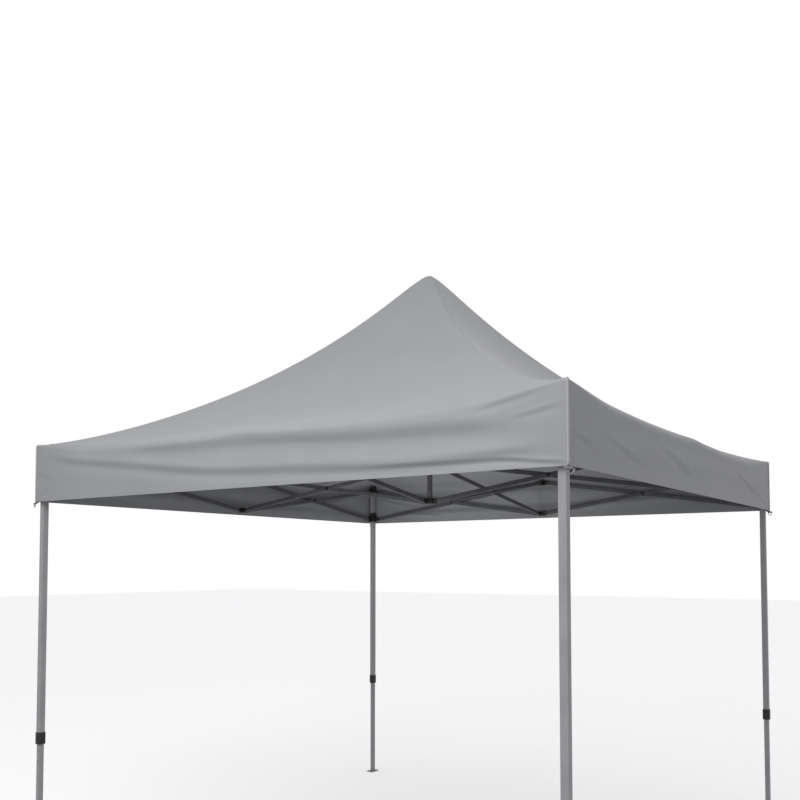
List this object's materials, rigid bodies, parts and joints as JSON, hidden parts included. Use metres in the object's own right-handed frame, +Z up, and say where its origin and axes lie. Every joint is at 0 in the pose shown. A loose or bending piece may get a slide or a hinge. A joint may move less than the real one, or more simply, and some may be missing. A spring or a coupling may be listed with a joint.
{
  "type": "folding shelter",
  "caption": "Square pop-up shelter: a concave pyramid cloth cover with a short skirt, over a folding scissor frame on telescopic legs.",
  "frame": {"origin": "on the ground under the centre pole", "axes": "+X along the front side, +Y from front to back, +Z up"},
  "size_m": [3.039, 3.039, 3.276],
  "materials": {
    "cover_cloth": "light grey coated polyester, soft sheen",
    "leg_steel": "light grey powder coat, satin",
    "lower_leg_steel": "light grey powder coat, rubbed where it slides",
    "bar_steel": "mid grey powder coat",
    "bracket_plastic": "black moulded nylon",
    "button_plastic": "black moulded nylon, smooth",
    "pole_steel": "mid grey powder coat",
    "ring_steel": "plated steel wire"
  },
  "bodies": {
    "top_hub": {"top_hub": "bracket_plastic", "cover": "cover_cloth"},
    "top_hub_bar_front": {"top_hub_bar_front": "bar_steel"},
    "bottom_hub_bar_front": {"bottom_hub_bar_front": "bar_steel"},
    "mid_bottom_bracket_front": {"mid_bottom_bracket_front": "bracket_plastic"},
    "mid_top_bracket_front": {"mid_top_bracket_front": "bracket_plastic"},
    "bottom_hub": {"bottom_hub": "bracket_plastic"},
    "slider_bar_front_right": {"slider_bar_front_right": "bar_steel"},
    "leg_bar_front_right": {"leg_bar_front_right": "bar_steel"},
    "slider_front_right": {"slider_front_right": "bracket_plastic"},
    "leg_front_right": {"leg_front_right": "leg_steel"},
    "slider_bar_front_left": {"slider_bar_front_left": "bar_steel"},
    "leg_bar_front_left": {"leg_bar_front_left": "bar_steel"},
    "top_hub_bar_right": {"top_hub_bar_right": "bar_steel"},
    "bottom_hub_bar_right": {"bottom_hub_bar_right": "bar_steel"},
    "mid_bottom_bracket_right": {"mid_bottom_bracket_right": "bracket_plastic"},
    "mid_top_bracket_right": {"mid_top_bracket_right": "bracket_plastic"},
    "slider_bar_right_back": {"slider_bar_right_back": "bar_steel"},
    "leg_bar_right_back": {"leg_bar_right_back": "bar_steel"},
    "slider_back_right": {"slider_back_right": "bracket_plastic"},
    "leg_back_right": {"leg_back_right": "leg_steel"},
    "slider_bar_right_front": {"slider_bar_right_front": "bar_steel"},
    "leg_bar_right_front": {"leg_bar_right_front": "bar_steel"},
    "top_hub_bar_back": {"top_hub_bar_back": "bar_steel"},
    "bottom_hub_bar_back": {"bottom_hub_bar_back": "bar_steel"},
    "mid_bottom_bracket_back": {"mid_bottom_bracket_back": "bracket_plastic"},
    "mid_top_bracket_back": {"mid_top_bracket_back": "bracket_plastic"},
    "slider_bar_back_left": {"slider_bar_back_left": "bar_steel"},
    "leg_bar_back_left": {"leg_bar_back_left": "bar_steel"},
    "slider_back_left": {"slider_back_left": "bracket_plastic"},
    "leg_back_left": {"leg_back_left": "leg_steel"},
    "slider_bar_back_right": {"slider_bar_back_right": "bar_steel"},
    "leg_bar_back_right": {"leg_bar_back_right": "bar_steel"},
    "top_hub_bar_left": {"top_hub_bar_left": "bar_steel"},
    "bottom_hub_bar_left": {"bottom_hub_bar_left": "bar_steel"},
    "mid_bottom_bracket_left": {"mid_bottom_bracket_left": "bracket_plastic"},
    "mid_top_bracket_left": {"mid_top_bracket_left": "bracket_plastic"},
    "slider_bar_left_front": {"slider_bar_left_front": "bar_steel"},
    "leg_bar_left_front": {"leg_bar_left_front": "bar_steel"},
    "slider_front_left": {"slider_front_left": "bracket_plastic"},
    "leg_front_left": {"leg_front_left": "leg_steel"},
    "slider_bar_left_back": {"slider_bar_left_back": "bar_steel"},
    "leg_bar_left_back": {"leg_bar_left_back": "bar_steel"},
    "peak_pole": {"peak_pole": "pole_steel"},
    "lower_leg_front_left": {"lower_leg_front_left": "lower_leg_steel"},
    "slider_knob_front_left": {"slider_knob_front_left": "bracket_plastic"},
    "leg_button_front_left": {"leg_button_front_left": "button_plastic"},
    "tie_ring_front_left": {"tie_ring_front_left": "ring_steel"},
    "lower_leg_front_right": {"lower_leg_front_right": "lower_leg_steel"},
    "slider_knob_front_right": {"slider_knob_front_right": "bracket_plastic"},
    "leg_button_front_right": {"leg_button_front_right": "button_plastic"},
    "tie_ring_front_right": {"tie_ring_front_right": "ring_steel"},
    "lower_leg_back_right": {"lower_leg_back_right": "lower_leg_steel"},
    "slider_knob_back_right": {"slider_knob_back_right": "bracket_plastic"},
    "leg_button_back_right": {"leg_button_back_right": "button_plastic"},
    "tie_ring_back_right": {"tie_ring_back_right": "ring_steel"},
    "lower_leg_back_left": {"lower_leg_back_left": "lower_leg_steel"},
    "slider_knob_back_left": {"slider_knob_back_left": "bracket_plastic"},
    "leg_button_back_left": {"leg_button_back_left": "button_plastic"},
    "tie_ring_back_left": {"tie_ring_back_left": "ring_steel"}
  },
  "joints": [
    {"name": "frame_fold", "type": "hinge", "parent": "top_hub", "child": "top_hub_bar_front", "pos_m": [0, -0.045, 2.195], "axis": [1, 0, 0], "range_deg": [0, 79], "deforming": ["cover"]},
    {"name": "bottom_hub_bar_front_turn", "type": "hinge", "parent": "top_hub_bar_front", "child": "bottom_hub_bar_front", "pos_m": [0, -0.7395, 2.0875], "axis": [-1, 0, 0], "range_deg": [0, 158]},
    {"name": "mid_bottom_bracket_front_turn", "type": "hinge", "parent": "top_hub_bar_front", "child": "mid_bottom_bracket_front", "pos_m": [0, -1.434, 1.98], "axis": [-1, 0, 0], "range_deg": [0, 79]},
    {"name": "mid_top_bracket_front_turn", "type": "hinge", "parent": "bottom_hub_bar_front", "child": "mid_top_bracket_front", "pos_m": [0, -1.434, 2.195], "axis": [1, 0, 0], "range_deg": [0, 79]},
    {"name": "bottom_hub_turn", "type": "hinge", "parent": "bottom_hub_bar_front", "child": "bottom_hub", "pos_m": [0, -0.045, 1.98], "axis": [1, 0, 0], "range_deg": [0, 79]},
    {"name": "slider_bar_front_right_turn", "type": "hinge", "parent": "mid_top_bracket_front", "child": "slider_bar_front_right", "pos_m": [0.034, -1.468, 2.195], "axis": [0, 1, 0], "range_deg": [0, 79]},
    {"name": "leg_bar_front_right_turn", "type": "hinge", "parent": "mid_bottom_bracket_front", "child": "leg_bar_front_right", "pos_m": [0.034, -1.468, 1.98], "axis": [0, -1, 0], "range_deg": [0, 79]},
    {"name": "slider_front_right_turn", "type": "hinge", "parent": "slider_bar_front_right", "child": "slider_front_right", "pos_m": [1.423, -1.468, 1.98], "axis": [0, -1, 0], "range_deg": [0, 79]},
    {"name": "leg_front_right_turn", "type": "hinge", "parent": "leg_bar_front_right", "child": "leg_front_right", "pos_m": [1.423, -1.468, 2.195], "axis": [0, 1, 0], "range_deg": [0, 79]},
    {"name": "slider_bar_front_left_turn", "type": "hinge", "parent": "mid_top_bracket_front", "child": "slider_bar_front_left", "pos_m": [-0.034, -1.468, 2.195], "axis": [0, -1, 0], "range_deg": [0, 79]},
    {"name": "leg_bar_front_left_turn", "type": "hinge", "parent": "mid_bottom_bracket_front", "child": "leg_bar_front_left", "pos_m": [-0.034, -1.468, 1.98], "axis": [0, 1, 0], "range_deg": [0, 79]},
    {"name": "top_hub_bar_right_turn", "type": "hinge", "parent": "top_hub", "child": "top_hub_bar_right", "pos_m": [0.045, 0, 2.195], "axis": [0, 1, 0], "range_deg": [0, 79]},
    {"name": "bottom_hub_bar_right_turn", "type": "hinge", "parent": "top_hub_bar_right", "child": "bottom_hub_bar_right", "pos_m": [0.7395, 0, 2.0875], "axis": [0, -1, 0], "range_deg": [0, 158]},
    {"name": "mid_bottom_bracket_right_turn", "type": "hinge", "parent": "top_hub_bar_right", "child": "mid_bottom_bracket_right", "pos_m": [1.434, 0, 1.98], "axis": [0, -1, 0], "range_deg": [0, 79]},
    {"name": "mid_top_bracket_right_turn", "type": "hinge", "parent": "bottom_hub_bar_right", "child": "mid_top_bracket_right", "pos_m": [1.434, 0, 2.195], "axis": [0, 1, 0], "range_deg": [0, 79]},
    {"name": "slider_bar_right_back_turn", "type": "hinge", "parent": "mid_top_bracket_right", "child": "slider_bar_right_back", "pos_m": [1.468, 0.034, 2.195], "axis": [-1, 0, 0], "range_deg": [0, 79]},
    {"name": "leg_bar_right_back_turn", "type": "hinge", "parent": "mid_bottom_bracket_right", "child": "leg_bar_right_back", "pos_m": [1.468, 0.034, 1.98], "axis": [1, 0, 0], "range_deg": [0, 79]},
    {"name": "slider_back_right_turn", "type": "hinge", "parent": "slider_bar_right_back", "child": "slider_back_right", "pos_m": [1.468, 1.423, 1.98], "axis": [1, 0, 0], "range_deg": [0, 79]},
    {"name": "leg_back_right_turn", "type": "hinge", "parent": "leg_bar_right_back", "child": "leg_back_right", "pos_m": [1.468, 1.423, 2.195], "axis": [-1, 0, 0], "range_deg": [0, 79]},
    {"name": "slider_bar_right_front_turn", "type": "hinge", "parent": "mid_top_bracket_right", "child": "slider_bar_right_front", "pos_m": [1.468, -0.034, 2.195], "axis": [1, 0, 0], "range_deg": [0, 79]},
    {"name": "leg_bar_right_front_turn", "type": "hinge", "parent": "mid_bottom_bracket_right", "child": "leg_bar_right_front", "pos_m": [1.468, -0.034, 1.98], "axis": [-1, 0, 0], "range_deg": [0, 79]},
    {"name": "top_hub_bar_back_turn", "type": "hinge", "parent": "top_hub", "child": "top_hub_bar_back", "pos_m": [0, 0.045, 2.195], "axis": [-1, 0, 0], "range_deg": [0, 79]},
    {"name": "bottom_hub_bar_back_turn", "type": "hinge", "parent": "top_hub_bar_back", "child": "bottom_hub_bar_back", "pos_m": [0, 0.7395, 2.0875], "axis": [1, 0, 0], "range_deg": [0, 158]},
    {"name": "mid_bottom_bracket_back_turn", "type": "hinge", "parent": "top_hub_bar_back", "child": "mid_bottom_bracket_back", "pos_m": [0, 1.434, 1.98], "axis": [1, 0, 0], "range_deg": [0, 79]},
    {"name": "mid_top_bracket_back_turn", "type": "hinge", "parent": "bottom_hub_bar_back", "child": "mid_top_bracket_back", "pos_m": [0, 1.434, 2.195], "axis": [-1, 0, 0], "range_deg": [0, 79]},
    {"name": "slider_bar_back_left_turn", "type": "hinge", "parent": "mid_top_bracket_back", "child": "slider_bar_back_left", "pos_m": [-0.034, 1.468, 2.195], "axis": [0, -1, 0], "range_deg": [0, 79]},
    {"name": "leg_bar_back_left_turn", "type": "hinge", "parent": "mid_bottom_bracket_back", "child": "leg_bar_back_left", "pos_m": [-0.034, 1.468, 1.98], "axis": [0, 1, 0], "range_deg": [0, 79]},
    {"name": "slider_back_left_turn", "type": "hinge", "parent": "slider_bar_back_left", "child": "slider_back_left", "pos_m": [-1.423, 1.468, 1.98], "axis": [0, 1, 0], "range_deg": [0, 79]},
    {"name": "leg_back_left_turn", "type": "hinge", "parent": "leg_bar_back_left", "child": "leg_back_left", "pos_m": [-1.423, 1.468, 2.195], "axis": [0, -1, 0], "range_deg": [0, 79]},
    {"name": "slider_bar_back_right_turn", "type": "hinge", "parent": "mid_top_bracket_back", "child": "slider_bar_back_right", "pos_m": [0.034, 1.468, 2.195], "axis": [0, 1, 0], "range_deg": [0, 79]},
    {"name": "leg_bar_back_right_turn", "type": "hinge", "parent": "mid_bottom_bracket_back", "child": "leg_bar_back_right", "pos_m": [0.034, 1.468, 1.98], "axis": [0, -1, 0], "range_deg": [0, 79]},
    {"name": "top_hub_bar_left_turn", "type": "hinge", "parent": "top_hub", "child": "top_hub_bar_left", "pos_m": [-0.045, 0, 2.195], "axis": [0, -1, 0], "range_deg": [0, 79]},
    {"name": "bottom_hub_bar_left_turn", "type": "hinge", "parent": "top_hub_bar_left", "child": "bottom_hub_bar_left", "pos_m": [-0.7395, 0, 2.0875], "axis": [0, 1, 0], "range_deg": [0, 158]},
    {"name": "mid_bottom_bracket_left_turn", "type": "hinge", "parent": "top_hub_bar_left", "child": "mid_bottom_bracket_left", "pos_m": [-1.434, 0, 1.98], "axis": [0, 1, 0], "range_deg": [0, 79]},
    {"name": "mid_top_bracket_left_turn", "type": "hinge", "parent": "bottom_hub_bar_left", "child": "mid_top_bracket_left", "pos_m": [-1.434, 0, 2.195], "axis": [0, -1, 0], "range_deg": [0, 79]},
    {"name": "slider_bar_left_front_turn", "type": "hinge", "parent": "mid_top_bracket_left", "child": "slider_bar_left_front", "pos_m": [-1.468, -0.034, 2.195], "axis": [1, 0, 0], "range_deg": [0, 79]},
    {"name": "leg_bar_left_front_turn", "type": "hinge", "parent": "mid_bottom_bracket_left", "child": "leg_bar_left_front", "pos_m": [-1.468, -0.034, 1.98], "axis": [-1, 0, 0], "range_deg": [0, 79]},
    {"name": "slider_front_left_turn", "type": "hinge", "parent": "slider_bar_left_front", "child": "slider_front_left", "pos_m": [-1.468, -1.423, 1.98], "axis": [-1, 0, 0], "range_deg": [0, 79]},
    {"name": "leg_front_left_turn", "type": "hinge", "parent": "leg_bar_left_front", "child": "leg_front_left", "pos_m": [-1.468, -1.423, 2.195], "axis": [1, 0, 0], "range_deg": [0, 79]},
    {"name": "slider_bar_left_back_turn", "type": "hinge", "parent": "mid_top_bracket_left", "child": "slider_bar_left_back", "pos_m": [-1.468, 0.034, 2.195], "axis": [-1, 0, 0], "range_deg": [0, 79]},
    {"name": "leg_bar_left_back_turn", "type": "hinge", "parent": "mid_bottom_bracket_left", "child": "leg_bar_left_back", "pos_m": [-1.468, 0.034, 1.98], "axis": [1, 0, 0], "range_deg": [0, 79]},
    {"name": "peak_pole_slide", "type": "slide", "parent": "bottom_hub", "child": "peak_pole", "axis": [0, 0, 1], "range_m": [0, 0.29507]},
    {"name": "lower_leg_front_left_slide", "type": "slide", "parent": "leg_front_left", "child": "lower_leg_front_left", "axis": [0, 0, 1], "range_m": [0, 0.68]},
    {"name": "slider_knob_front_left_pull", "type": "slide", "parent": "slider_front_left", "child": "slider_knob_front_left", "axis": [1, 0, 0], "range_m": [0, 0.006], "stiffness_N_per_m": 800, "springref_m": -0.006},
    {"name": "leg_button_front_left_push", "type": "slide", "parent": "leg_front_left", "child": "leg_button_front_left", "axis": [0, 1, 0], "range_m": [0, 0.003], "stiffness_N_per_m": 800, "springref_m": -0.006},
    {"name": "tie_ring_front_left_swing", "type": "hinge", "parent": "leg_front_left", "child": "tie_ring_front_left", "pos_m": [-1.503, -1.503, 1.94], "axis": [0.7071, -0.7071, 0], "range_deg": [-80, 95]},
    {"name": "lower_leg_front_right_slide", "type": "slide", "parent": "leg_front_right", "child": "lower_leg_front_right", "axis": [0, 0, 1], "range_m": [0, 0.68]},
    {"name": "slider_knob_front_right_pull", "type": "slide", "parent": "slider_front_right", "child": "slider_knob_front_right", "axis": [0, 1, 0], "range_m": [0, 0.006], "stiffness_N_per_m": 800, "springref_m": -0.006},
    {"name": "leg_button_front_right_push", "type": "slide", "parent": "leg_front_right", "child": "leg_button_front_right", "axis": [-1, 0, 0], "range_m": [0, 0.003], "stiffness_N_per_m": 800, "springref_m": -0.006},
    {"name": "tie_ring_front_right_swing", "type": "hinge", "parent": "leg_front_right", "child": "tie_ring_front_right", "pos_m": [1.503, -1.503, 1.94], "axis": [0.7071, 0.7071, 0], "range_deg": [-80, 95]},
    {"name": "lower_leg_back_right_slide", "type": "slide", "parent": "leg_back_right", "child": "lower_leg_back_right", "axis": [0, 0, 1], "range_m": [0, 0.68]},
    {"name": "slider_knob_back_right_pull", "type": "slide", "parent": "slider_back_right", "child": "slider_knob_back_right", "axis": [-1, 0, 0], "range_m": [0, 0.006], "stiffness_N_per_m": 800, "springref_m": -0.006},
    {"name": "leg_button_back_right_push", "type": "slide", "parent": "leg_back_right", "child": "leg_button_back_right", "axis": [0, -1, 0], "range_m": [0, 0.003], "stiffness_N_per_m": 800, "springref_m": -0.006},
    {"name": "tie_ring_back_right_swing", "type": "hinge", "parent": "leg_back_right", "child": "tie_ring_back_right", "pos_m": [1.503, 1.503, 1.94], "axis": [-0.7071, 0.7071, 0], "range_deg": [-80, 95]},
    {"name": "lower_leg_back_left_slide", "type": "slide", "parent": "leg_back_left", "child": "lower_leg_back_left", "axis": [0, 0, 1], "range_m": [0, 0.68]},
    {"name": "slider_knob_back_left_pull", "type": "slide", "parent": "slider_back_left", "child": "slider_knob_back_left", "axis": [0, -1, 0], "range_m": [0, 0.006], "stiffness_N_per_m": 800, "springref_m": -0.006},
    {"name": "leg_button_back_left_push", "type": "slide", "parent": "leg_back_left", "child": "leg_button_back_left", "axis": [1, 0, 0], "range_m": [0, 0.003], "stiffness_N_per_m": 800, "springref_m": -0.006},
    {"name": "tie_ring_back_left_swing", "type": "hinge", "parent": "leg_back_left", "child": "tie_ring_back_left", "pos_m": [-1.503, 1.503, 1.94], "axis": [-0.7071, -0.7071, 0], "range_deg": [-80, 95]}
  ],
  "couplings": [
    {"joint": "bottom_hub_bar_front_turn", "follows": "frame_fold", "ratio": 2},
    {"joint": "mid_bottom_bracket_front_turn", "follows": "frame_fold", "ratio": 1},
    {"joint": "mid_top_bracket_front_turn", "follows": "frame_fold", "ratio": 1},
    {"joint": "bottom_hub_turn", "follows": "frame_fold", "ratio": 1},
    {"joint": "slider_bar_front_right_turn", "follows": "frame_fold", "ratio": 1},
    {"joint": "leg_bar_front_right_turn", "follows": "frame_fold", "ratio": 1},
    {"joint": "slider_front_right_turn", "follows": "frame_fold", "ratio": 1},
    {"joint": "leg_front_right_turn", "follows": "frame_fold", "ratio": 1},
    {"joint": "slider_bar_front_left_turn", "follows": "frame_fold", "ratio": 1},
    {"joint": "leg_bar_front_left_turn", "follows": "frame_fold", "ratio": 1},
    {"joint": "top_hub_bar_right_turn", "follows": "frame_fold", "ratio": 1},
    {"joint": "bottom_hub_bar_right_turn", "follows": "frame_fold", "ratio": 2},
    {"joint": "mid_bottom_bracket_right_turn", "follows": "frame_fold", "ratio": 1},
    {"joint": "mid_top_bracket_right_turn", "follows": "frame_fold", "ratio": 1},
    {"joint": "slider_bar_right_back_turn", "follows": "frame_fold", "ratio": 1},
    {"joint": "leg_bar_right_back_turn", "follows": "frame_fold", "ratio": 1},
    {"joint": "slider_back_right_turn", "follows": "frame_fold", "ratio": 1},
    {"joint": "leg_back_right_turn", "follows": "frame_fold", "ratio": 1},
    {"joint": "slider_bar_right_front_turn", "follows": "frame_fold", "ratio": 1},
    {"joint": "leg_bar_right_front_turn", "follows": "frame_fold", "ratio": 1},
    {"joint": "top_hub_bar_back_turn", "follows": "frame_fold", "ratio": 1},
    {"joint": "bottom_hub_bar_back_turn", "follows": "frame_fold", "ratio": 2},
    {"joint": "mid_bottom_bracket_back_turn", "follows": "frame_fold", "ratio": 1},
    {"joint": "mid_top_bracket_back_turn", "follows": "frame_fold", "ratio": 1},
    {"joint": "slider_bar_back_left_turn", "follows": "frame_fold", "ratio": 1},
    {"joint": "leg_bar_back_left_turn", "follows": "frame_fold", "ratio": 1},
    {"joint": "slider_back_left_turn", "follows": "frame_fold", "ratio": 1},
    {"joint": "leg_back_left_turn", "follows": "frame_fold", "ratio": 1},
    {"joint": "slider_bar_back_right_turn", "follows": "frame_fold", "ratio": 1},
    {"joint": "leg_bar_back_right_turn", "follows": "frame_fold", "ratio": 1},
    {"joint": "top_hub_bar_left_turn", "follows": "frame_fold", "ratio": 1},
    {"joint": "bottom_hub_bar_left_turn", "follows": "frame_fold", "ratio": 2},
    {"joint": "mid_bottom_bracket_left_turn", "follows": "frame_fold", "ratio": 1},
    {"joint": "mid_top_bracket_left_turn", "follows": "frame_fold", "ratio": 1},
    {"joint": "slider_bar_left_front_turn", "follows": "frame_fold", "ratio": 1},
    {"joint": "leg_bar_left_front_turn", "follows": "frame_fold", "ratio": 1},
    {"joint": "slider_front_left_turn", "follows": "frame_fold", "ratio": 1},
    {"joint": "leg_front_left_turn", "follows": "frame_fold", "ratio": 1},
    {"joint": "slider_bar_left_back_turn", "follows": "frame_fold", "ratio": 1},
    {"joint": "leg_bar_left_back_turn", "follows": "frame_fold", "ratio": 1},
    {"joint": "peak_pole_slide", "follows": "frame_fold", "m_per_rad": 0.214}
  ]
}
